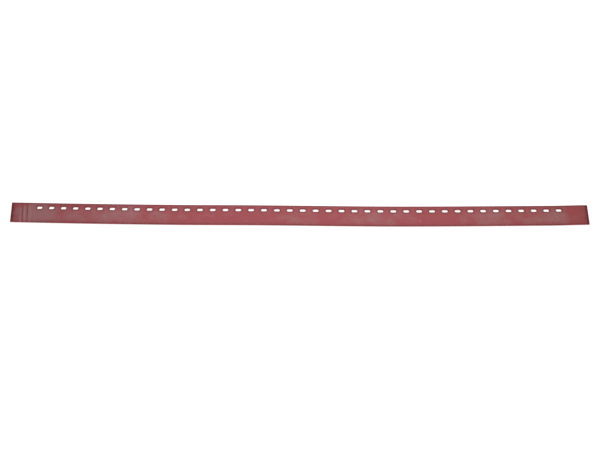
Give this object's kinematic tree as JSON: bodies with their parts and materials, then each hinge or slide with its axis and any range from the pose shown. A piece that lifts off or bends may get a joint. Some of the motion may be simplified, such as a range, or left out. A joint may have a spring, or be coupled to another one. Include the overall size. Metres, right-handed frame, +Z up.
{
  "type": "squeegee blade",
  "caption": "Long flat strip of soft natural rubber with a row of round-ended slots along one edge and a plain wiping edge opposite",
  "frame": {"origin": "middle of the face that the blade lies on", "axes": "+X runs along the blade, +Y points across it to the slotted edge, +Z points up through its thickness"},
  "size_m": [1.143, 0.04, 0.004],
  "materials": {
    "natural_rubber": "matt calendered face with a pale bloom, darker cut edges"
  },
  "bodies": {
    "root": {"squeegee_blade": "natural_rubber"}
  },
  "joints": []
}
